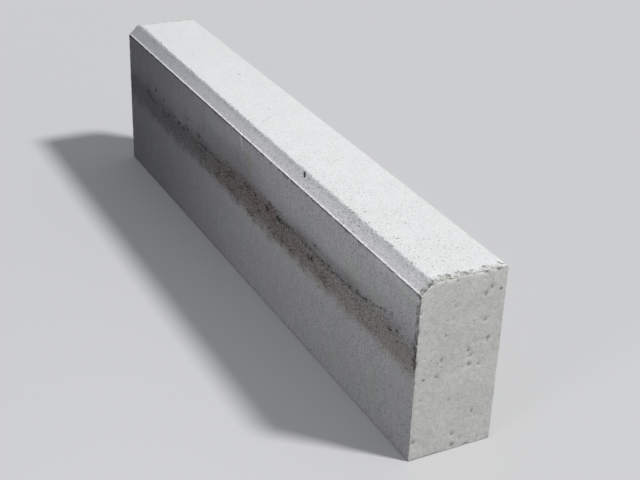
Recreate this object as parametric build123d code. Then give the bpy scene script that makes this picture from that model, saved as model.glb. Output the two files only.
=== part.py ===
from build123d import *
import os

# Concrete kerb stone, cast upright in a mould as one piece and pressed from above.
# X runs along the kerb, the chamfered side faces -Y and Z is up.
# The origin is the middle of the bed face. Sizes are in millimetres.

# The stone
length = 1000.0
width = 120.0
height = 250.0

# Chamfer that the press head forms along the upper front edge
chamfer_width = 15.0
chamfer_drop = 15.0
crown_radius = 5.0

# Lip of concrete squeezed up between the press head and the walls of the mould
lip_width = 2.2
lip_height = 1.2
end_lip_width = 2.5
lip_radius = 0.4
lip_foot_radius = 0.3

# Edges left by the mould
back_edge_radius = 3.0
bed_edge_radius = 2.0
end_edge_radius = 1.5

# How far the press head reaches past the stone, where it cuts nothing
head_overreach = 10.0

# Places in the section, worked out from the sizes above
front = -width / 2
back = width / 2
lip_inside = front + lip_width
crown = lip_inside + chamfer_width
foot_level = height - chamfer_drop
crest_level = foot_level + lip_height
rim_crown = crown - lip_height * chamfer_width / chamfer_drop


def mould_section():
    """Section of the blank, with the lip's crest as a narrow land along the front
    and a chamfer that stands a lip's height above the pressed one."""
    outline = FilletPolyline(
        (front, 0),
        (back, 0),
        (back, height),
        (rim_crown, height),
        (lip_inside, crest_level),
        (front, crest_level),
        radius=(
            bed_edge_radius,
            bed_edge_radius,
            back_edge_radius,
            crown_radius,
            0,
            lip_radius,
        ),
        close=True,
    )
    return make_face(outline)


def press_section():
    """Section of the press head, whose underside is the land on the lip, the step down
    inside the lip, the chamfer and the top of the stone."""
    head_top = height + head_overreach
    head_front = front - head_overreach
    head_back = back + head_overreach
    underside = FilletPolyline(
        (head_front, crest_level),
        (lip_inside, crest_level),
        (lip_inside, foot_level),
        (crown, height),
        (head_back, height),
        radius=(lip_radius, lip_foot_radius, crown_radius),
    )
    head = Polyline(
        (head_back, height),
        (head_back, head_top),
        (head_front, head_top),
        (head_front, crest_level),
    )
    return make_face([underside, head])


def along_kerb(section, run):
    """A bar of one section, centred on the length of the stone."""
    return extrude(Plane.YZ * section, amount=run / 2, both=True)


def kerb_stone():
    """The blank with its end edges rounded, pressed down between its two end rims."""
    blank = along_kerb(mould_section(), length)
    ends = blank.faces().filter_by(Axis.X)
    blank = fillet(ends.edges(), end_edge_radius)
    return blank - along_kerb(press_section(), length - 2 * end_lip_width)


os.makedirs("parts", exist_ok=True)
export_step(kerb_stone(), "parts/kerb_stone.step")
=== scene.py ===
import math
import random

import bpy
import numpy as np
from mathutils import Matrix, Vector, noise
from mathutils.geometry import delaunay_2d_cdt


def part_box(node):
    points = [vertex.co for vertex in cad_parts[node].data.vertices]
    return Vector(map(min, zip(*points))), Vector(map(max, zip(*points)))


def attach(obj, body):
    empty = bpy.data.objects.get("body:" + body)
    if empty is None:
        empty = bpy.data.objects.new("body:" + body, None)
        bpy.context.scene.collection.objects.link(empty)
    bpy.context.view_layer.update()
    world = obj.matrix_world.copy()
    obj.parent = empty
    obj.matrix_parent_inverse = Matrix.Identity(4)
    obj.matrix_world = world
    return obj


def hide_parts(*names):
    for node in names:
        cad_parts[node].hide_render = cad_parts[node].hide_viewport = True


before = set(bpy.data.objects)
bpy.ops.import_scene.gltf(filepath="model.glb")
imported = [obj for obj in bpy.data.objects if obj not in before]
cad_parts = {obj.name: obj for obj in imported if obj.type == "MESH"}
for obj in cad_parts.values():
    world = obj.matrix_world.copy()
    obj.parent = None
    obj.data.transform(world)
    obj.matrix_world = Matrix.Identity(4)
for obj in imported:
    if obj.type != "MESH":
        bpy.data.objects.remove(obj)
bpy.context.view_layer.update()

# The concrete kerb stone, as one closed mesh that stands for the CAD solid.
# X runs along the kerb, the chamfered side faces -Y and Z is up. Everything is in metres.

MM = 0.001
COS_45 = math.sqrt(0.5)

# The stone's own sizes
low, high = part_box("kerb_stone")
half_length = high.x
front, back, height = low.y, high.y, high.z
chamfer_size = 15 * MM
crown_radius = 5 * MM
lip_width = 2.2 * MM
lip_height = 1.2 * MM
end_lip_width = 2.5 * MM
lip_radius = 0.4 * MM
back_edge_radius = 3 * MM
bed_edge_radius = 2 * MM
end_edge_radius = 1.5 * MM

# Places in the section. The rim's crown is where the unpressed chamfer meets the top.
lip_inside = front + lip_width
crest = height - chamfer_size + lip_height
rim_crown = lip_inside + chamfer_size - lip_height
crown = lip_inside + chamfer_size

# Height up to which the front of the laid stone is covered
cover_level = 134 * MM

# Mesh: a line of the section has a vertex at every station, every second or every fourth
FINE, MIDDLE, COARSE = 1, 2, 4
station_step = 1.25 * MM
end_stations = [0, 0.15 * MM, 0.45 * MM, 0.9 * MM, 1.5 * MM, 2.0 * MM, 2.45 * MM, 2.55 * MM, 3.75 * MM]
first_even_station = 5 * MM
end_face_step = 3 * MM
end_face_margin = 4 * MM
end_face_shake = 0.2
wall_slack = 0.05 * MM


def straight(start, end, step, grade):
    """Section points from start towards end, without end, as (y, z, grade)."""
    count = max(1, round(math.dist(start, end) / step))
    points = []
    for i in range(count):
        share = i / count
        y = start[0] + (end[0] - start[0]) * share
        z = start[1] + (end[1] - start[1]) * share
        points.append((y, z, grade))
    return points


def bend(centre_y, centre_z, radius, first, last, count, grade):
    """Section points on an arc, without its last one. 0 degrees points back and 90 up."""
    points = []
    for i in range(count):
        angle = math.radians(first + (last - first) * i / count)
        y = centre_y + radius * math.cos(angle)
        z = centre_z + radius * math.sin(angle)
        points.append((y, z, grade))
    return points


def section():
    """The blank's outline from the bed's front edge, up the front, over the top and round."""
    tangent = crown_radius * math.tan(math.radians(45 / 2))
    slope = tangent * COS_45
    dirt_bottom = cover_level - 8 * MM
    upper_front = crest - 15 * MM
    under_lip = crest - 3.2 * MM
    land_end = lip_inside - wall_slack
    chamfer_end = (rim_crown - slope, height - slope)
    top_start = rim_crown + tangent
    near_top = front + 34 * MM
    back_bend, back_top = back - back_edge_radius, height - back_edge_radius
    bed_front, bed_back = front + bed_edge_radius, back - bed_edge_radius
    outline = []
    outline += bend(bed_front, bed_edge_radius, bed_edge_radius, 270, 180, count=3, grade=COARSE)
    outline += straight((front, bed_edge_radius), (front, dirt_bottom), step=6 * MM, grade=COARSE)
    outline += straight((front, dirt_bottom), (front, upper_front), step=2.6 * MM, grade=MIDDLE)
    outline += straight((front, upper_front), (front, under_lip), step=1.5 * MM, grade=FINE)
    outline += straight((front, under_lip), (front, crest - lip_radius), step=0.55 * MM, grade=FINE)
    outline += bend(front + lip_radius, crest - lip_radius, lip_radius, 180, 90, count=2, grade=FINE)
    outline += straight((front + lip_radius, crest), (land_end, crest), step=0.45 * MM, grade=FINE)
    outline += [(land_end, crest, FINE)]
    outline += straight((lip_inside, crest), chamfer_end, step=1.4 * MM, grade=FINE)
    outline += bend(top_start, height - crown_radius, crown_radius, 135, 90, count=5, grade=FINE)
    outline += straight((top_start, height), (near_top, height), step=1.6 * MM, grade=FINE)
    outline += straight((near_top, height), (back_bend, height), step=2.5 * MM, grade=MIDDLE)
    outline += bend(back_bend, back_top, back_edge_radius, 90, 0, count=5, grade=MIDDLE)
    outline += straight((back, back_top), (back, cover_level), step=4.5 * MM, grade=COARSE)
    outline += straight((back, cover_level), (back, bed_edge_radius), step=7 * MM, grade=COARSE)
    outline += bend(bed_back, bed_edge_radius, bed_edge_radius, 0, -90, count=3, grade=COARSE)
    outline += straight((bed_back, 0), (bed_front, 0), step=8 * MM, grade=COARSE)
    return outline


def section_normals(outline):
    """Outward unit normals of the closed outline, each from its two neighbours."""
    normals = []
    for i in range(len(outline)):
        before, after = outline[i - 1], outline[(i + 1) % len(outline)]
        normals.append(Vector((before[1] - after[1], after[0] - before[0])).normalized())
    return normals


def stations():
    """X of every finest station, and the station numbers that each grade has."""
    even_run = 2 * (half_length - first_even_station)
    even_count = round(even_run / station_step / COARSE) * COARSE
    left = [-half_length + distance for distance in end_stations]
    even = [even_run * (i / even_count - 0.5) for i in range(even_count + 1)]
    xs = left + even + [-x for x in reversed(left)]
    numbers = {}
    for grade in (FINE, MIDDLE, COARSE):
        inner = range(len(left), len(left) + even_count + 1, grade)
        numbers[grade] = [*range(len(left)), *inner, *range(len(xs) - len(left), len(xs))]
    return xs, numbers


def press_shift(y):
    """How far the press moved a point of the unpressed chamfer, as (y, z)."""
    if y < lip_inside - wall_slack / 2 or y >= crown + crown_radius:
        return 0, 0
    share = min(1, (y - lip_inside) / (rim_crown - lip_inside))
    return lip_height * share, -lip_height * (1 - share)


def stone_body():
    """Vertices, outward normals and faces of the smooth stone."""
    outline = section()
    xs, numbers = stations()
    points, directions, lines = [], [], []
    for (y, z, grade), normal in zip(outline, section_normals(outline)):
        shift = press_shift(y) if z > crest - wall_slack else (0, 0)
        line = {}
        for i in numbers[grade]:
            x = xs[i]
            end_distance = half_length - abs(x)
            rounding = max(0, end_edge_radius - end_distance)
            inset = end_edge_radius - math.sqrt(end_edge_radius**2 - rounding**2)
            pressed = end_distance > end_lip_width
            line[i] = len(points)
            points.append((
                x,
                y - normal.x * inset + pressed * shift[0],
                z - normal.y * inset + pressed * shift[1],
            ))
            lean = rounding / end_edge_radius
            upright = math.sqrt(1 - lean**2)
            directions.append((math.copysign(lean, x), normal.x * upright, normal.y * upright))
        lines.append(line)
    faces = []
    for j in range(len(outline)):
        k = (j + 1) % len(outline)
        coarser = numbers[max(outline[j][2], outline[k][2])]
        for first, last in zip(coarser, coarser[1:]):
            lower = [lines[j][i] for i in range(first, last + 1) if i in lines[j]]
            upper = [lines[k][i] for i in range(first, last + 1) if i in lines[k]]
            faces.append(lower + upper[::-1])
    for i in (0, len(xs) - 1):
        close_end(points, directions, faces, [line[i] for line in lines], i > 0)
    return np.array(points), np.array(directions), faces


def close_end(points, directions, faces, ring, at_right):
    """Fills one end of the body with small triangles over an even, slightly shaken grid."""
    pick = random.Random(11 + at_right)
    flat = [Vector(points[v][1:]) for v in ring]
    inner = []
    for i in range(int((back - front) / end_face_step)):
        for k in range(int(height / end_face_step)):
            y = front + (i + 0.5 + pick.uniform(-end_face_shake, end_face_shake)) * end_face_step
            z = (k + 0.5 + pick.uniform(-end_face_shake, end_face_shake)) * end_face_step
            past_chamfer = (z - crest) - (y - lip_inside) + end_face_margin > 0
            inside = front + end_face_margin < y < back - end_face_margin
            inside = inside and end_face_margin < z < height - end_face_margin
            if inside and not past_chamfer:
                inner.append(Vector((y, z)))
    outer = [list(range(len(flat)))[::-1]]
    inside_only, tolerance = 1, 1e-7
    found, _, triangles, sources, _, _ = delaunay_2d_cdt(flat + inner, [], outer, inside_only, tolerance)
    x = math.copysign(half_length, 1 if at_right else -1)
    names = []
    for spot, source in zip(found, sources):
        if source and source[0] < len(ring):
            names.append(ring[source[0]])
        else:
            names.append(len(points))
            points.append((x, spot.x, spot.y))
            directions.append((math.copysign(1, x), 0, 0))
    for triangle in triangles:
        corner = [names[v] for v in triangle]
        faces.append(corner if at_right else corner[::-1])


def ripple(points, size, seed, octaves=1):
    """Smooth noise between about -1 and 1 whose bumps are size across."""
    seed_distance, increment, lacunarity = 17.3, 0.9, 2.1
    shifted = points / np.asarray(size) + seed * seed_distance
    if octaves == 1:
        values = (noise.noise(p) for p in shifted.tolist())
    else:
        values = (noise.fractal(p, increment, lacunarity, octaves) for p in shifted.tolist())
    return np.fromiter(values, float, len(points))


def near(distance, reach):
    """1 where a distance is 0, falling smoothly to about 0 at twice the reach."""
    return np.exp(-((distance / reach) ** 2))


def step_up(value, zero_at, one_at):
    """0 up to zero_at, 1 from one_at and smooth between."""
    share = np.clip((value - zero_at) / (one_at - zero_at), 0, 1)
    return share * share * (3 - 2 * share)


# Broken spots of the lip: place along the kerb, half length, depth
lip_nicks = [
    (-9 * MM, 3 * MM, 0.7 * MM),
    (109 * MM, 5 * MM, 0.5 * MM),
    (452 * MM, 3 * MM, 0.8 * MM),
    (-310 * MM, 2.5 * MM, 0.6 * MM),
    (268 * MM, 2 * MM, 0.5 * MM),
]

# Pits that stand out in the top: x, y, radius, depth
top_pits = [
    (-207 * MM, 23 * MM, 2.6 * MM, 1.1 * MM),
    (-24 * MM, 31 * MM, 1.8 * MM, 0.9 * MM),
    (-13 * MM, -24 * MM, 1.6 * MM, 0.8 * MM),
    (-25 * MM, -5 * MM, 1.5 * MM, 0.6 * MM),
    (336 * MM, -38 * MM, 2.0 * MM, 0.9 * MM),
    (307 * MM, -28 * MM, 2.2 * MM, 0.9 * MM),
    (387 * MM, -27 * MM, 2.6 * MM, 1.0 * MM),
    (402 * MM, -31 * MM, 1.9 * MM, 0.8 * MM),
    (487 * MM, -29 * MM, 2.4 * MM, 1.2 * MM),
    (490 * MM, -19 * MM, 3.4 * MM, 1.6 * MM),
    (488 * MM, -7 * MM, 2.4 * MM, 1.1 * MM),
    (492 * MM, 3 * MM, 2.6 * MM, 1.2 * MM),
    (491 * MM, 13 * MM, 2.4 * MM, 1.2 * MM),
    (489 * MM, 31 * MM, 2.6 * MM, 1.2 * MM),
]

# Air holes in the front: x, z, radius, depth
front_holes = [
    (213 * MM, 220 * MM, 1.6 * MM, 1.2 * MM),
    (193 * MM, 207 * MM, 1.9 * MM, 1.2 * MM),
]

# How many small pits are scattered over the top, the front and back, the worn right end
# of the front, and the end faces
top_pit_count = 150
face_hole_count = 70
worn_end_count = 44
end_hole_count = 60

# The higher this is, the more the small pits of the top gather towards the right end
gathering = 1.6


def press_pits(points, pits, depth):
    """Adds round hollows to the depth: each pit is a centre, a radius and a depth."""
    for centre, radius, drop in pits:
        distance = np.linalg.norm(points - centre, axis=1)
        hollow = np.clip(1 - (distance / radius) ** 2, 0, 1)
        depth += drop * np.sqrt(hollow) * (hollow > 0)


def scattered_pits():
    """The pits that stand out, and many small ones, more of them towards the right end."""
    pick = random.Random(5)
    pits = [((x, y, height), radius, drop) for x, y, radius, drop in top_pits]
    pits += [((x, front, z), radius, drop) for x, z, radius, drop in front_holes]

    def add_pit(spot, radii, depths):
        """One pit at that spot, its radius and depth drawn between two numbers of millimetres."""
        radius = pick.uniform(*radii) * MM
        pits.append((spot, radius, pick.uniform(*depths) * MM))

    for _ in range(top_pit_count):
        x = half_length * (1 - 2 * pick.random() ** gathering)
        y = pick.uniform(crown, back)
        add_pit((x, y, height), radii=(1.3, 2.3), depths=(0.2, 0.6))
    for _ in range(face_hole_count):
        x = pick.uniform(-half_length, half_length)
        z = pick.uniform(0, crest)
        y = pick.choice((front, back))
        add_pit((x, y, z), radii=(1.5, 3), depths=(0.4, 1))
    for _ in range(worn_end_count):
        x = half_length - pick.uniform(1, 8) * MM
        z = pick.uniform(cover_level, crest)
        add_pit((x, front, z), radii=(1.3, 2.8), depths=(0.6, 1.6))
    for _ in range(end_hole_count):
        x = pick.choice((-half_length, half_length))
        y = pick.uniform(front, back)
        z = pick.uniform(0, height)
        add_pit((x, y, z), radii=(1.8, 4), depths=(0.5, 1.4))
    return pits


def rim_nearness(points):
    """1 along the edges of the section, and 0 from a few millimetres inside it."""
    x, y, z = points.T
    below_chamfer = ((y - crown) - (z - height)) / math.sqrt(2)
    depth = np.min([y - front, back - y, z, height - z, below_chamfer], axis=0)
    return step_up(depth, end_face_margin, 2 * MM)


def surface_depth(points, directions):
    """How deep the slow swells, sandy grain, mould marks and the hollow under the lip lie."""
    x, y, z = points.T
    above_crest = z > crest
    on_top = np.clip((directions[:, 2] - 0.8) / 0.15, 0, 1) * above_crest
    on_chamfer = near(directions[:, 2] - COS_45, 0.2) * above_crest * (y < 0)
    on_front = np.clip(-directions[:, 1] * 4 - 3, 0, 1)
    on_bed = np.clip(-directions[:, 2] * 4 - 3, 0, 1)
    swells = 0.12 * MM * (1 + ripple(points, 70 * MM, seed=1))
    grain = 0.5 + 0.5 * ripple(points, 2.6 * MM, seed=2)
    grain_depth = (0.12 * on_top + 0.08 * on_chamfer + 0.3 * on_bed) * MM * grain
    drag = ripple(points, (5 * MM, 5 * MM, 90 * MM), seed=3)
    drag_depth = 0.05 * MM * (1 + drag) * on_front
    under_lip = near(z - crest + 1.5 * MM, 0.8 * MM) * on_front
    under_lip_depth = 0.35 * MM * under_lip * (1 + 0.6 * ripple(along_kerb(x), 15 * MM, seed=6))
    return swells + grain_depth + drag_depth + under_lip_depth


def hollow_depth(points, directions, crumbs):
    """How deep the bites in the crown, the crumbled edges and the pits lie."""
    x, y, z = points.T
    end_distance = half_length - np.abs(x)
    hollow = np.zeros(len(x))
    crown_distance = np.hypot(y - crown, z - height)
    bite = np.clip(ripple(points, 5 * MM, seed=4, octaves=3), 0, 1)
    hollow += 1.3 * MM * near(crown_distance, 2.2 * MM) * bite
    sharp_edge = np.clip(1 - np.max(np.abs(directions), axis=1), 0, 0.3) / 0.3
    worn_end = step_up(z, cover_level, height - 4 * MM) * (x > 0)
    crumbled = near(end_distance, 1.6 * MM + 2.4 * MM * worn_end)
    hollow += 1.1 * MM * crumbled * crumbs * (1 + worn_end) * rim_nearness(points)
    hollow += 0.8 * MM * sharp_edge * crumbs * (end_distance > 3 * MM) * (y > 0)
    press_pits(points, scattered_pits(), hollow)
    return hollow


def along_kerb(x):
    """Points on the X axis, for ripples that run along the kerb only."""
    return np.column_stack((x, np.zeros(len(x)), np.zeros(len(x))))


def bend_lip(moved, points):
    """Lowers and nicks the lip's crest, and lets the crest and the wall inside it waver."""
    x, y, z = points.T
    line = along_kerb(x)
    outside_wall = y < lip_inside - wall_slack / 2
    drop = 0.3 * MM * (1 + ripple(line, 8 * MM, seed=7, octaves=2))
    for place, half, nick in lip_nicks:
        drop = drop + nick * near(x - place, half)
    moved[:, 2] -= np.clip(drop, 0, 1.1 * MM) * (z > crest - 1.0 * MM) * outside_wall
    sway = 0.5 * MM * ripple(line, 18 * MM, seed=8, octaves=3)
    at_wall = near(y - lip_inside, 0.5 * MM) * (z > crest - 2 * MM)
    moved[:, 1] += sway * at_wall * (half_length - np.abs(x) > end_lip_width)
    leaning = 0.3 * MM * (1 + ripple(line, 22 * MM, seed=9, octaves=2))
    moved[:, 1] += leaning * near(z - crest, 1.2 * MM) * outside_wall * (y < 0)


def weather(points, directions):
    """Moves the smooth stone's vertices inwards to their real, uneven places.

    Returns the new places and the depth of each hollow, for the dirt and painted shade in it."""
    x = points[:, 0]
    crumbs = np.clip(ripple(points, 4 * MM, seed=5, octaves=3) + 0.05, 0, 1)
    hollow = hollow_depth(points, directions, crumbs)
    moved = points - directions * (surface_depth(points, directions) + hollow)[:, None]
    bend_lip(moved, points)
    end_nearness = near(half_length - np.abs(x), 2 * MM)
    moved[:, 0] -= np.sign(x) * end_nearness * (0.1 + 0.5 * crumbs) * MM
    return moved, hollow


def along_section(points):
    """Distance of each point from the crown, over the top positive and down the front negative."""
    x, y, z = points.T
    chamfer_run = chamfer_size * math.sqrt(2)
    past_chamfer = front + 30 * MM
    on_slope = -np.hypot(y - crown, z - height)
    down_front = -(chamfer_run + lip_width + np.clip(crest - z, 0, None))
    on_face = np.where(z < crest - 0.5 * MM, down_front, np.where(y > crown, y - crown, on_slope))
    return np.where(y > past_chamfer, np.clip(y - crown, 0, None), on_face)


# Splashed dirt: place along the kerb, the height that it reaches on the front and how thick it is
dirt_profile = [
    (-500 * MM, 166 * MM, 0.45),
    (-400 * MM, 170 * MM, 0.5),
    (-330 * MM, 168 * MM, 0.55),
    (-270 * MM, 164 * MM, 0.65),
    (-200 * MM, 172 * MM, 0.7),
    (-160 * MM, 174 * MM, 0.75),
    (-110 * MM, 166 * MM, 0.8),
    (-60 * MM, 171 * MM, 0.85),
    (0 * MM, 176 * MM, 0.9),
    (60 * MM, 177 * MM, 1.0),
    (110 * MM, 175 * MM, 1.0),
    (160 * MM, 170 * MM, 0.9),
    (230 * MM, 168 * MM, 0.8),
    (300 * MM, 167 * MM, 0.7),
    (370 * MM, 170 * MM, 0.65),
    (430 * MM, 176 * MM, 0.52),
    (460 * MM, 172 * MM, 0.45),
    (500 * MM, 168 * MM, 0.5),
]

# The dark rim of that dirt: place along the kerb and height
dirt_rim = [
    (110 * MM, 158 * MM),
    (160 * MM, 162 * MM),
    (233 * MM, 160 * MM),
    (273 * MM, 161 * MM),
    (310 * MM, 158.5 * MM),
    (340 * MM, 160 * MM),
    (370 * MM, 164 * MM),
    (397 * MM, 168 * MM),
    (413 * MM, 171 * MM),
    (435 * MM, 176 * MM),
]

# Black scuffs: x, z, half length, half height, strength
scuffs = [
    (-476 * MM, 162 * MM, 9 * MM, 4 * MM, 0.8),
    (-405 * MM, 161 * MM, 18 * MM, 8 * MM, 0.6),
    (-385 * MM, 153 * MM, 22 * MM, 5 * MM, 0.5),
    (-368 * MM, 177 * MM, 6 * MM, 3.5 * MM, 1.6),
    (-332 * MM, 173 * MM, 6 * MM, 3 * MM, 1.2),
    (-315 * MM, 150 * MM, 30 * MM, 6 * MM, 0.6),
    (-262 * MM, 157 * MM, 8 * MM, 3 * MM, 1.4),
    (-240 * MM, 156 * MM, 5 * MM, 3 * MM, 1.4),
    (-226 * MM, 162 * MM, 9 * MM, 6 * MM, 1.0),
    (-176 * MM, 169 * MM, 9 * MM, 5 * MM, 1.2),
    (-180 * MM, 148 * MM, 40 * MM, 7 * MM, 0.5),
    (-140 * MM, 158 * MM, 24 * MM, 2.5 * MM, 1.2),
    (-98 * MM, 158 * MM, 16 * MM, 3 * MM, 0.9),
    (-50 * MM, 153 * MM, 22 * MM, 5 * MM, 0.9),
    (0 * MM, 163 * MM, 30 * MM, 5 * MM, 0.6),
    (20 * MM, 160 * MM, 14 * MM, 7 * MM, 0.7),
    (42 * MM, 161 * MM, 7 * MM, 3 * MM, 1.3),
    (50 * MM, 150 * MM, 12 * MM, 9 * MM, 0.6),
    (84 * MM, 159 * MM, 9 * MM, 5 * MM, 1.1),
    (92 * MM, 170 * MM, 4 * MM, 2.5 * MM, 1.6),
    (122 * MM, 158 * MM, 11 * MM, 3.5 * MM, 1.6),
    (150 * MM, 160 * MM, 16 * MM, 6 * MM, 0.7),
    (190 * MM, 163 * MM, 20 * MM, 5 * MM, 0.6),
    (233 * MM, 171 * MM, 11 * MM, 3 * MM, 1.1),
    (222 * MM, 147 * MM, 12 * MM, 3 * MM, 1.2),
    (305 * MM, 160 * MM, 10 * MM, 2.5 * MM, 1.1),
    (314 * MM, 154 * MM, 6 * MM, 2.5 * MM, 1.0),
    (352 * MM, 161 * MM, 4 * MM, 3 * MM, 1.3),
    (375 * MM, 164 * MM, 6 * MM, 2.5 * MM, 1.2),
    (437 * MM, 156 * MM, 8 * MM, 6 * MM, 0.65),
    (440 * MM, 178 * MM, 4 * MM, 3 * MM, 1.0),
    (453 * MM, 162 * MM, 3 * MM, 5 * MM, 1.4),
    (455 * MM, 149 * MM, 5 * MM, 4 * MM, 1.0),
    (-290 * MM, 162 * MM, 22 * MM, 5 * MM, 0.8),
    (-266 * MM, 151 * MM, 20 * MM, 4 * MM, 0.65),
    (-225 * MM, 178 * MM, 24 * MM, 5 * MM, 0.35),
    (-172 * MM, 157 * MM, 18 * MM, 4 * MM, 0.7),
    (-100 * MM, 150 * MM, 34 * MM, 4 * MM, 0.4),
    (25 * MM, 149 * MM, 18 * MM, 4 * MM, 0.4),
    (98 * MM, 167 * MM, 28 * MM, 5 * MM, 0.4),
]

# Reddish dust on the dirt: x, half length
red_dust = [(-60 * MM, 45 * MM), (50 * MM, 60 * MM), (180 * MM, 90 * MM), (330 * MM, 70 * MM)]


def stone_maps(points, directions, hollow):
    """The values at every vertex that the material reads. Their lengths are in millimetres."""
    x, y, z = points.T
    on_front = directions[:, 1] < -0.7
    places, levels, thickness = zip(*dirt_profile)
    rim_places, rim_levels = zip(*dirt_rim)
    black = np.zeros(len(x))
    for place, level, half_run, half_rise, strength in scuffs:
        black += strength * near(x - place, half_run) * near(z - level, half_rise)
    red = np.zeros(len(x))
    for place, half_run in red_dust:
        red += near(x - place, half_run)
    rim_run = step_up(x, 100 * MM, 150 * MM) * step_up(x, 445 * MM, 425 * MM)
    out_of_reach = 100
    off_front = out_of_reach * ~on_front
    off_rim = off_front + out_of_reach * (rim_run <= 0)
    return {
        "hollow": hollow / MM,
        "reach": along_section(points) / MM,
        "above_dirt": (z - np.interp(x, places, levels)) / MM + off_front,
        "dirt_thickness": np.interp(x, places, thickness),
        "above_cover": (z - cover_level) / MM,
        "above_rim": (z - np.interp(x, rim_places, rim_levels)) / MM + off_rim,
        "rim_run": rim_run,
        "scuff": np.clip(black, 0, 1.3) * on_front,
        "red_dust": np.clip(red, 0, 1),
        "end_face": step_up(np.abs(directions[:, 0]), 0.5, 0.95),
        "hidden": (directions[:, 1] > 0.5) | (directions[:, 2] < -0.5),
    }


def add_object(name, data):
    """A new object of that data, in the scene."""
    made = bpy.data.objects.new(name, data)
    bpy.context.scene.collection.objects.link(made)
    return made


def make_stone(material):
    """The weathered stone, with its maps as attributes of its vertices."""
    points, directions, faces = stone_body()
    moved, hollow = weather(points, directions)
    mesh = bpy.data.meshes.new("weathered_stone")
    mesh.from_pydata(moved.tolist(), [], faces)
    mesh.shade_smooth()
    for name, values in stone_maps(points, directions, hollow).items():
        attribute = mesh.attributes.new(name, "FLOAT", "POINT")
        attribute.data.foreach_set("value", np.asarray(values, dtype=np.float32))
    mesh.materials.append(material)
    mesh.update()
    return add_object("weathered_stone", mesh)


class Shading:
    """Builds the nodes of a material or a world. Values are numbers, colours or sockets."""

    def __init__(self, owner, output):
        owner.use_nodes = True
        self.tree = owner.node_tree
        self.output = self.tree.nodes[output]

    def node(self, kind, **settings):
        made = self.tree.nodes.new(kind)
        for name, value in settings.items():
            setattr(made, name, value)
        return made

    def feed(self, socket, value):
        if isinstance(value, bpy.types.NodeSocket):
            self.tree.links.new(value, socket)
        else:
            socket.default_value = value

    def math(self, operation, *values, clamp=False):
        made = self.node("ShaderNodeMath", operation=operation, use_clamp=clamp)
        for socket, value in zip(made.inputs, values):
            self.feed(socket, value)
        return made.outputs[0]

    def product(self, first, *others):
        for value in others:
            first = self.math("MULTIPLY", first, value)
        return first

    def total(self, first, *others):
        for value in others:
            first = self.math("ADD", first, value)
        return first

    def scaled(self, value, factor, offset=0):
        return self.math("MULTIPLY_ADD", value, factor, offset)

    def highest(self, first, *others):
        for value in others:
            first = self.math("MAXIMUM", first, value)
        return first

    def ramp(self, value, low, high, start=0, end=1):
        """Start up to low and end from high, smooth between."""
        made = self.node("ShaderNodeMapRange", interpolation_type="SMOOTHSTEP")
        for socket, number in zip(made.inputs, (value, low, high, start, end)):
            self.feed(socket, number)
        return made.outputs[0]

    def fall(self, value, low, high):
        """1 up to low and 0 from high, smooth between."""
        return self.ramp(value, low, high, 1, 0)

    def between(self, value, low, full_low, full_high, high):
        """0 outside low and high, and 1 from full_low to full_high."""
        return self.product(self.ramp(value, low, full_low), self.fall(value, full_high, high))

    def blend(self, share, first, second, mode="MIX"):
        """The first colour where share is 0 and the second, or both multiplied, where it is 1."""
        made = self.node("ShaderNodeMix", data_type="RGBA", blend_type=mode)
        self.feed(made.inputs["Factor"], share)
        sockets = [socket for socket in made.inputs if socket.type == "RGBA"]
        for socket, colour in zip(sockets, (first, second)):
            self.feed(socket, (*colour, 1) if isinstance(colour, tuple) else colour)
        return next(socket for socket in made.outputs if socket.type == "RGBA")

    def tint(self, share, colour, factor):
        """The colour multiplied by factor, a grey or (r, g, b), as far as share says."""
        factor = factor if isinstance(factor, tuple) else (factor, factor, factor)
        return self.blend(share, colour, factor, "MULTIPLY")

    def background_rays(self):
        """1 where a ray from the camera, from gloss or through glass meets the background."""
        path = self.node("ShaderNodeLightPath").outputs
        return self.highest(path["Is Camera Ray"], path["Is Glossy Ray"], path["Is Transmission Ray"])


# Marks drawn on the stone: start, end, half width and the factor on the colour
marks = [
    ((168 * MM, -45 * MM, 247.8 * MM), (175 * MM, -48 * MM, 244.8 * MM), 2.3 * MM, 0.05),
    ((487 * MM, 52 * MM, height), (493 * MM, 54 * MM, height), 1.3 * MM, 0.3),
    ((493 * MM, 54 * MM, height), (493.5 * MM, 58.5 * MM, height), 1.0 * MM, 0.4),
    ((-13 * MM, -24 * MM, height), (-18 * MM, -12 * MM, height), 1.1 * MM, 0.8),
    ((-18 * MM, -12 * MM, height), (-25 * MM, -5 * MM, height), 1.1 * MM, 0.8),
    ((-48 * MM, 3 * MM, height), (-54 * MM, 4 * MM, height), 1.3 * MM, 0.75),
    ((-12 * MM, front, 234 * MM), (-4 * MM, front, 214 * MM), 3.5 * MM, 1.22),
    ((-10 * MM, front, 232 * MM), (-6 * MM, front, 227 * MM), 5 * MM, 1.25),
    ((17 * MM, front, 205 * MM), (18 * MM, front, 172 * MM), 14 * MM, (0.98, 0.92, 0.89)),
    ((-84 * MM, front, 150 * MM), (-85 * MM, front, 139 * MM), 3 * MM, (1.35, 1.33, 1.28)),
    ((-349 * MM, front, 152 * MM), (-354 * MM, front, 137 * MM), 5 * MM, (1.35, 1.35, 1.33)),
    ((-230 * MM, front, 196 * MM), (-231 * MM, front, 172 * MM), 3.5 * MM, (0.75, 0.75, 0.77)),
    ((-155 * MM, front, 230 * MM), (-156 * MM, front, 180 * MM), 3.5 * MM, 0.88),
]


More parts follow.
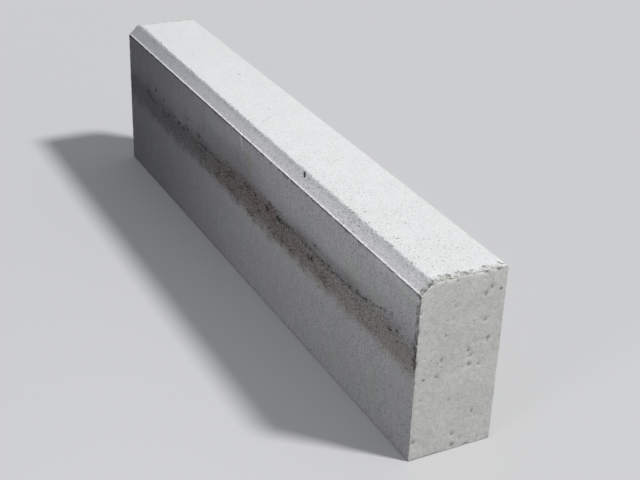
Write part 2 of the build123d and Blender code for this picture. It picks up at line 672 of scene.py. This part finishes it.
class Concrete(Shading):
    """The stone's material, laid in layers: each takes the colour below and returns its own."""

    def __init__(self):
        self.material = bpy.data.materials.new("weathered_concrete")
        super().__init__(self.material, "Principled BSDF")
        self.spot = self.node("ShaderNodeTexCoord").outputs["Object"]
        parts = self.node("ShaderNodeSeparateXYZ")
        self.feed(parts.inputs[0], self.spot)
        self.x = parts.outputs["X"]
        self.reach = self.attribute("reach")
        self.hollow = self.attribute("hollow")
        self.above_dirt = self.attribute("above_dirt")
        self.above_cover = self.attribute("above_cover")
        self.thickness = self.attribute("dirt_thickness")
        self.scuff = self.attribute("scuff")

        # Noises that more than one layer uses
        self.clouds = self.noise(45 * MM, seed=3)
        self.grain = self.noise(1.8 * MM, seed=5)
        self.blotches = self.noise(6 * MM, seed=7)
        self.grit = self.noise(2.6 * MM, seed=43, stretch=(1.4, 1, 1))
        self.streaks = self.noise(2.2 * MM, seed=17, stretch=(1, 1, 9))
        self.scratches = self.noise(2 * MM, seed=41, stretch=(6, 1, 1), spot=self.turned(18))
        self.patches = self.noise(14 * MM, seed=23, detail=5, stretch=(1.5, 1, 1))
        self.fine = self.noise(2.4 * MM, seed=29, detail=4, stretch=(1.3, 1, 1))
        self.rough = self.total(self.scaled(self.patches, 22, -11), self.scaled(self.fine, 14, -7))

        # Shares of how near a point is, and on which part of the stone it lies
        self.nearer = self.ramp(self.x, -0.3, 0.5)
        self.farther = self.fall(self.x, -0.45, 0)
        self.on_front = self.fall(self.reach, -25.5, -24.5)
        self.uncovered = self.ramp(self.total(self.above_cover, self.scaled(self.rough, 1.5)), -24, -1)
        self.dirt_edge = self.fall(self.total(self.above_dirt, self.rough), -8, 3)
        thick = self.ramp(self.thickness, 0.45, 0.95, 0.4, 1)
        self.in_dirt = self.product(self.dirt_edge, self.uncovered, thick)

    def attribute(self, name):
        return self.node("ShaderNodeAttribute", attribute_name=name).outputs["Fac"]

    def noise(self, size, seed, detail=3, stretch=(1, 1, 1), spot=None):
        """Noise between 0 and 1 whose bumps are size across, longer by stretch."""
        spread = self.node("ShaderNodeVectorMath", operation="MULTIPLY_ADD")
        self.feed(spread.inputs[0], self.spot if spot is None else spot)
        spread.inputs[1].default_value = [1 / (size * factor) for factor in stretch]
        spread.inputs[2].default_value = (seed, seed * 2, seed * 3)
        made = self.node("ShaderNodeTexNoise")
        self.feed(made.inputs["Vector"], spread.outputs[0])
        made.inputs["Scale"].default_value = 1
        made.inputs["Detail"].default_value = detail
        made.inputs["Roughness"].default_value = 0.6
        return made.outputs["Fac"]

    def turned(self, degrees):
        """The spot turned about Y, so that a stretched noise runs up to the right."""
        made = self.node("ShaderNodeMapping")
        self.feed(made.inputs["Vector"], self.spot)
        made.inputs["Rotation"].default_value = (0, math.radians(degrees), 0)
        return made.outputs[0]

    def holes(self, spacing, largest, seed):
        """1 in round holes of many sizes up to the largest radius, about a spacing apart."""
        shifted = self.node("ShaderNodeVectorMath", operation="ADD")
        self.feed(shifted.inputs[0], self.spot)
        shifted.inputs[1].default_value = (seed, seed * 2, seed * 3)
        made = self.node("ShaderNodeTexVoronoi")
        self.feed(made.inputs["Vector"], shifted.outputs[0])
        made.inputs["Scale"].default_value = 1 / spacing
        pick = self.node("ShaderNodeSeparateColor")
        self.feed(pick.inputs[0], made.outputs["Color"])
        radius = self.scaled(self.math("POWER", pick.outputs[0], 3), largest / spacing)
        return self.fall(self.math("SUBTRACT", made.outputs["Distance"], radius), -0.02, 0.02)

    def streak(self, start, end, radius):
        """1 on the line from start to end and 0 from radius away."""
        run = Vector(end) - Vector(start)
        offset = self.node("ShaderNodeVectorMath", operation="SUBTRACT")
        self.feed(offset.inputs[0], self.spot)
        offset.inputs[1].default_value = start
        along = self.node("ShaderNodeVectorMath", operation="DOT_PRODUCT")
        self.feed(along.inputs[0], offset.outputs[0])
        along.inputs[1].default_value = run / run.length_squared
        nearest = self.node("ShaderNodeVectorMath", operation="MULTIPLY_ADD")
        nearest.inputs[0].default_value = run
        self.feed(nearest.inputs[1], self.math("ADD", along.outputs["Value"], 0, clamp=True))
        nearest.inputs[2].default_value = start
        apart = self.node("ShaderNodeVectorMath", operation="DISTANCE")
        self.feed(apart.inputs[0], self.spot)
        self.feed(apart.inputs[1], nearest.outputs[0])
        return self.fall(apart.outputs["Value"], radius / 2, radius)

    def cement(self):
        """Pale cement with slow clouds, sandy grain and darker specks, more of them nearby."""
        colour = self.blend(self.clouds, (0.735, 0.735, 0.73), (0.8, 0.8, 0.795))
        colour = self.tint(self.fall(self.grain, 0.35, 0.6), colour, 0.86)
        colour = self.tint(self.fall(self.blotches, 0.35, 0.6), colour, 0.965)
        specks = self.fall(self.noise(2.4 * MM, seed=9, stretch=(1.7, 1, 1)), 0.355, 0.435)
        gathered = self.ramp(self.noise(28 * MM, seed=10, detail=2), 0.36, 0.6, 0.25, 1)
        thinning = self.ramp(self.reach, 10, 90, 1, 0.55)
        shown = self.product(specks, gathered, thinning, self.scaled(self.nearer, 0.85, 0.15))
        return self.tint(shown, colour, (0.42, 0.43, 0.41))

    def pressed_chamfer_and_shade(self, colour):
        """In painted shade, the chamfer and the front are greyer and cooler, below a ragged, darker
        upper edge.
        """
        # Painted shade: the stone is a little darker towards its left end, where the light is dimmer
        colour = self.tint(self.farther, colour, 0.945)
        shift = self.total(self.scaled(self.farther, -3.4), self.scaled(self.nearer, 1.2, -0.9))
        sway = self.scaled(self.noise(16 * MM, seed=14), 7, -3.5)
        jitter = self.scaled(self.noise(4 * MM, seed=13, detail=4, stretch=(1.6, 1, 1)), 14, -7)
        ragged = self.total(self.reach, shift, sway, jitter)
        below_crown = self.fall(ragged, -1.4, 0.6)
        # Painted shade: the chamfer and the front are tinted greyer and cooler, as in sky-lit shade
        colour = self.tint(below_crown, colour, (0.92, 0.915, 0.945))
        band = self.product(below_crown, self.ramp(ragged, -12, -2), self.scaled(self.nearer, -0.4, 1))
        colour = self.tint(band, colour, (0.8, 0.815, 0.79))
        dots = self.fall(self.grit, 0.36, 0.48)
        bright = self.ramp(self.grit, 0.5, 0.62)
        colour = self.tint(self.product(below_crown, dots), colour, (0.85, 0.86, 0.85))
        colour = self.tint(self.product(below_crown, bright), colour, (1.08, 1.08, 1.09))
        clusters = self.ramp(self.noise(13 * MM, seed=54), 0.46, 0.6)
        at_crown = self.between(self.reach, -8, -3, 1, 5)
        colour = self.tint(self.product(at_crown, clusters, dots), colour, (0.48, 0.5, 0.46))
        # Painted shade: the chamfer is darker and cooler towards the left end
        on_chamfer = self.product(below_crown, self.ramp(self.reach, -21.4, -20.8))
        return self.tint(self.product(on_chamfer, self.farther), colour, (0.83, 0.84, 0.86))

    def moulded_front_and_shade(self, colour):
        """The front is darker towards the left end in painted shade, with faint hues, streaks and
        scratches.
        """
        # Painted shade: the front is darker towards its left end, where the light is dimmer
        darkening = self.ramp(self.x, -0.5, 0.12, 1, 0.32)
        colour = self.tint(self.product(self.on_front, darkening), colour, (0.505, 0.505, 0.515))
        hues = self.noise(35 * MM, seed=48, stretch=(1, 1, 1.6))
        cool = self.product(self.on_front, self.fall(hues, 0.36, 0.5))
        warm = self.product(self.on_front, self.ramp(hues, 0.5, 0.64))
        colour = self.tint(cool, colour, (0.985, 0.97, 1.01))
        colour = self.tint(warm, colour, (0.98, 0.99, 0.95))
        streaked = self.product(self.on_front, self.ramp(self.streaks, 0.38, 0.62))
        colour = self.tint(streaked, colour, (0.87, 0.875, 0.88))
        scratched = self.product(self.on_front, self.fall(self.scratches, 0.38, 0.6))
        return self.tint(scratched, colour, 0.92)

    def dark_line(self, colour):
        """Dirt and painted shade under the lip: a narrow line with gaps, and a wider, fainter one below
        it.
        """
        gaps = self.noise(11 * MM, seed=19, detail=4)
        long_right = self.between(self.x, 0.18, 0.22, 0.31, 0.35)
        long_left = self.between(self.x, -0.22, -0.18, -0.08, -0.04)
        unbroken = self.highest(long_right, long_left)
        covered = self.ramp(self.total(self.scaled(unbroken, 0.07), gaps), 0.39, 0.5)
        # Dirt and painted shade: a narrow dark line with gaps under the lip
        line = self.between(self.reach, -27.4, -25.6, -25.2, -24.6)
        line = self.product(line, covered, self.ramp(self.x, 0.33, 0.38, 1, 0.8))
        colour = self.tint(line, colour, 0.2)
        brighter = self.product(self.ramp(self.reach, -44, -32), self.ramp(self.x, 0.3, 0.42))
        colour = self.tint(self.product(self.on_front, brighter), colour, 1.13)
        # Dirt and painted shade: a wider, fainter line below it
        wide = self.between(self.reach, -33, -26, -25.2, -24.6)
        broken = self.ramp(self.total(self.scaled(self.streaks, 0.5), gaps), 0.72, 0.88)
        wide = self.product(wide, broken, self.ramp(self.x, 0.3, 0.42, 1, 0.4))
        return self.tint(wide, colour, (0.62, 0.63, 0.6))

    def bright_lip(self, colour):
        """The lip has a painted highlight, and is darker where it is chipped."""
        on_lip = self.between(self.reach, -24.6, -23.6, -21.4, -21)
        chipped = self.fall(self.noise(5 * MM, seed=20), 0.36, 0.5)
        # Painted highlight on the lip's ledge
        colour = self.tint(on_lip, colour, (1.12, 1.12, 1.11))
        return self.tint(self.product(on_lip, chipped), colour, (0.58, 0.58, 0.59))

    def grey_veils_and_shade(self, colour):
        """A grey film above and in the dirt, thin veils of dirt and painted shade that darken the front,
        a warm hue.
        """
        darkening = self.ramp(self.above_dirt, -8, 34, 0.36, 0)
        colour = self.tint(self.product(darkening, self.uncovered), colour, 0.4)
        # Dirt and painted shade: thin veils that darken parts of the front
        middle = self.between(self.x, -0.2, -0.1, -0.03, 0.1)
        high_veil_and_shade = self.product(self.fall(self.above_dirt, 24, 46), middle)
        left_part = self.ramp(self.x, 0.15, 0.3, 1, 0.3)
        past_left_end = self.ramp(self.x, -0.45, -0.3, 0.45, 1)
        low_veil_and_shade = self.product(self.fall(self.above_dirt, -20, -4), left_part, past_left_end)
        right = self.between(self.x, 0.12, 0.2, 0.33, 0.4)
        rim_veil_and_shade = self.product(self.between(self.above_dirt, -16, -6, 2, 14), right)
        veil_and_shade = self.highest(high_veil_and_shade, low_veil_and_shade, rim_veil_and_shade)
        colour = self.tint(self.product(veil_and_shade, self.uncovered), colour, (0.77, 0.765, 0.77))
        warm = self.product(self.fall(self.above_dirt, -24, -6), self.ramp(self.x, -0.3, -0.1))
        return self.tint(self.product(warm, self.uncovered), colour, (1.02, 0.98, 0.92))

    def brown_dirt(self, colour):
        """Splashed dirt with an uneven edge, scraped thin in places, grey, brown or reddish."""
        uneven = self.product(
            self.ramp(self.patches, 0.34, 0.6, 0.7, 1),
            self.ramp(self.fine, 0.36, 0.6, 0.42, 1),
            self.ramp(self.scratches, 0.42, 0.6, 1, 0.5),
        )
        thickness = self.product(self.thickness, self.ramp(self.above_cover, 0, 22, 0.75, 1))
        dirty = self.product(self.dirt_edge, thickness, uneven, self.uncovered)
        grey_dust, brown_dust = (0.36, 0.34, 0.37), (0.37, 0.31, 0.25)
        reddish_dust, olive_dust = (0.42, 0.24, 0.2), (0.335, 0.325, 0.275)
        dust = self.blend(self.ramp(self.x, -0.16, -0.07), grey_dust, brown_dust)
        dust = self.blend(self.attribute("red_dust"), dust, reddish_dust)
        olive = self.ramp(self.noise(16 * MM, seed=47), 0.42, 0.56, 0.85, 0)
        dust = self.blend(olive, dust, olive_dust)
        colour = self.blend(dirty, colour, dust, "MULTIPLY")
        dark_grit = self.product(self.in_dirt, self.fall(self.grit, 0.34, 0.5))
        pale_grit = self.product(self.in_dirt, self.ramp(self.grit, 0.52, 0.66))
        colour = self.tint(dark_grit, colour, (0.56, 0.545, 0.545))
        return self.tint(pale_grit, colour, (1.45, 1.4, 1.37))

    def dark_rim(self, colour):
        """The thin, dark, broken rim of the dirt."""
        wobble = self.total(self.attribute("above_rim"), self.scaled(self.rough, 0.8))
        line = self.between(wobble, -2.2, -0.3, 0.3, 1.6)
        broken = self.ramp(self.noise(10 * MM, seed=37), 0.44, 0.54)
        rim = self.product(line, broken, self.attribute("rim_run"))
        return self.tint(rim, colour, (0.22, 0.205, 0.2))

    def black_scuffs(self, colour):
        """Black flecks, loose in the dirt and dense in the scuffs, with a smudge under these."""
        flecks = self.total(self.scaled(self.fine, 0.65), self.scaled(self.patches, 0.35))
        streaky = self.total(flecks, self.scaled(self.scratches, -0.35, 0.175))
        loose = self.product(self.in_dirt, self.ramp(self.patches, 0.42, 0.64, 0, 0.5))
        density = self.highest(loose, self.scuff)
        rubbed = self.ramp(self.total(self.scaled(density, 0.17), streaky), 0.6, 0.7)
        rubbed = self.product(rubbed, self.ramp(density, 0.02, 0.4))
        colour = self.tint(rubbed, colour, (0.24, 0.225, 0.225))
        return self.tint(self.scaled(self.scuff, 0.3), colour, (0.5, 0.48, 0.48))

    def grimy_ends(self, colour):
        """Dirt at both ends of the stone, more of it at the right one, and pale flakes in it."""
        from_middle = self.math("ABSOLUTE", self.scaled(self.x, 1 / MM))
        from_end = self.math("SUBTRACT", half_length / MM, from_middle)
        above = self.ramp(self.above_cover, -10, 10)
        grime = self.ramp(self.total(self.scaled(self.rough, 1.8), from_end), 1.5, 10, 0.9, 0)
        grime = self.product(grime, above, self.ramp(self.x, -0.45, 0.45, 0.5, 1))
        colour = self.tint(grime, colour, (0.52, 0.535, 0.49))
        flakes = self.product(self.fall(from_end, 2, 14), self.ramp(self.grit, 0.52, 0.6))
        return self.tint(self.product(flakes, self.on_front, above), colour, 1.5)

    def dirty_shaded_hollows(self, colour):
        """Dark dirt and painted shade in the pits and crumbled edges."""
        # Dirt and painted shade, darker in deeper hollows
        dirt_and_shade = self.total(self.hollow, self.scaled(self.fine, 0.8, -0.4))
        return self.tint(self.ramp(dirt_and_shade, 0.25, 0.8), colour, (0.5, 0.5, 0.48))

    def bare(self, hidden, bubbles):
        """Plain sandy concrete for the ends, the back and the bed."""
        colour = self.blend(self.ramp(self.grain, 0.3, 0.65), (0.6, 0.595, 0.58), (0.76, 0.755, 0.74))
        colour = self.tint(self.fall(self.blotches, 0.35, 0.6), colour, (0.93, 0.93, 0.92))
        colour = self.tint(self.fall(self.clouds, 0.35, 0.65), colour, (0.92, 0.92, 0.91))
        # Dirt and painted shade in the hollows
        colour = self.tint(self.ramp(self.hollow, 0.3, 0.9), colour, (0.6, 0.6, 0.58))
        drag = self.fall(self.noise(4 * MM, seed=51, stretch=(1, 1, 8)), 0.4, 0.62)
        colour = self.tint(self.product(hidden, drag), colour, (0.95, 0.95, 0.945))
        # Painted shade in the air holes
        return self.tint(bubbles, colour, (0.5, 0.5, 0.485))

    def finished(self):
        """Lays all layers, adds the fine bumps and returns the material."""
        colour = self.cement()
        colour = self.pressed_chamfer_and_shade(colour)
        colour = self.moulded_front_and_shade(colour)
        colour = self.dark_line(colour)
        colour = self.bright_lip(colour)
        colour = self.grey_veils_and_shade(colour)
        colour = self.brown_dirt(colour)
        colour = self.dark_rim(colour)
        colour = self.black_scuffs(colour)
        for start, end, radius, factor in marks:
            colour = self.tint(self.streak(start, end, radius), colour, factor)
        colour = self.grimy_ends(colour)
        colour = self.dirty_shaded_hollows(colour)

        hidden = self.attribute("hidden")
        plain = self.highest(self.attribute("end_face"), hidden)
        small = self.holes(11 * MM, largest=2.2 * MM, seed=52)
        large = self.holes(31 * MM, largest=4 * MM, seed=53)
        bubbles = self.product(self.highest(small, large), plain)
        colour = self.blend(plain, colour, self.bare(hidden, bubbles))

        self.feed(self.output.inputs["Base Color"], colour)
        self.output.inputs["Roughness"].default_value = 0.9
        self.output.inputs["Specular IOR Level"].default_value = 0.3
        bump = self.node("ShaderNodeBump")
        bump.inputs["Strength"].default_value = 0.5
        bump.inputs["Distance"].default_value = 0.25 * MM
        relief = self.total(self.scaled(bubbles, -3), self.noise(1.2 * MM, seed=31))
        self.feed(bump.inputs["Height"], relief)
        self.feed(self.output.inputs["Normal"], bump.outputs[0])
        return self.material


def make_camera():
    """The photograph's viewpoint, turned and widened just enough to hold the whole stone."""
    spot = Vector((1.544, -0.746, 0.958))
    heading, pitch, roll = math.radians(62.1), math.radians(27.75), math.radians(2.1)
    data = bpy.data.cameras.new("view")
    data.lens = 70.8
    camera = add_object("view", data)
    turn = Matrix.Rotation(heading, 4, "Z") @ Matrix.Rotation(math.pi / 2 - pitch, 4, "X")
    camera.matrix_world = Matrix.Translation(spot) @ turn @ Matrix.Rotation(roll, 4, "Z")
    bpy.context.scene.camera = camera


def face(lamp, direction):
    """Turns a lamp so that its light comes from that direction."""
    lamp.rotation_mode = "QUATERNION"
    lamp.rotation_quaternion = direction.to_track_quat("Z", "Y")


def make_lamps():
    """A soft key from behind the stone, and a faint fill on the right part of the front."""
    sun = bpy.data.lights.new("key", "SUN")
    sun.energy = 2.8
    sun.angle = math.radians(8)
    face(add_object("key", sun), Vector((0.5, 0.53, 0.9)))

    panel = bpy.data.lights.new("fill", "AREA")
    panel.shape = "DISK"
    panel.size = 0.5
    panel.energy = 1.2
    panel.spread = math.radians(60)
    fill = add_object("fill", panel)
    fill.location = (1.0, -1.6, 0.6)
    fill_target = Vector((0.35, 0, 0.51))
    face(fill, fill.location - fill_target)
    fill.visible_camera = False


def make_sky():
    """A pale sky that is brightest overhead, and an even grey for the background."""
    horizon_strength, overhead_strength, background_strength = 0.05, 0.56, 0.6
    world = bpy.data.worlds.new("studio")
    s = Shading(world, "Background")
    s.output.inputs["Color"].default_value = (0.93, 0.95, 1, 1)
    parts = s.node("ShaderNodeSeparateXYZ")
    s.feed(parts.inputs[0], s.node("ShaderNodeTexCoord").outputs["Generated"])
    rise = s.node("ShaderNodeMapRange")
    s.feed(rise.inputs["Value"], parts.outputs["Z"])
    rise.inputs["To Min"].default_value = horizon_strength
    rise.inputs["To Max"].default_value = overhead_strength
    pick = s.node("ShaderNodeMix")
    s.feed(pick.inputs["Factor"], s.background_rays())
    s.feed(pick.inputs["A"], rise.outputs[0])
    pick.inputs["B"].default_value = background_strength
    s.feed(s.output.inputs["Strength"], pick.outputs["Result"])
    bpy.context.scene.world = world


def make_floor():
    """A pale floor that throws little light back at the stone."""
    light_thrown_back, pale_grey = (0.1, 0.1, 0.1), (0.56, 0.56, 0.56)
    half_side = 30
    material = bpy.data.materials.new("floor")
    s = Shading(material, "Principled BSDF")
    colour = s.blend(s.background_rays(), light_thrown_back, pale_grey)
    s.feed(s.output.inputs["Base Color"], colour)
    s.output.inputs["Roughness"].default_value = 0.95
    data = bpy.data.meshes.new("floor")
    corners = [(x * half_side, y * half_side, 0) for x, y in ((-1, -1), (1, -1), (1, 1), (-1, 1))]
    data.from_pydata(corners, [], [(0, 1, 2, 3)])
    data.materials.append(material)
    floor = add_object("floor", data)


stone = make_stone(Concrete().finished())
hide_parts("kerb_stone")
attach(stone, "root")
make_floor()
make_lamps()
make_sky()
make_camera()
bpy.context.scene.view_settings.view_transform = "Standard"
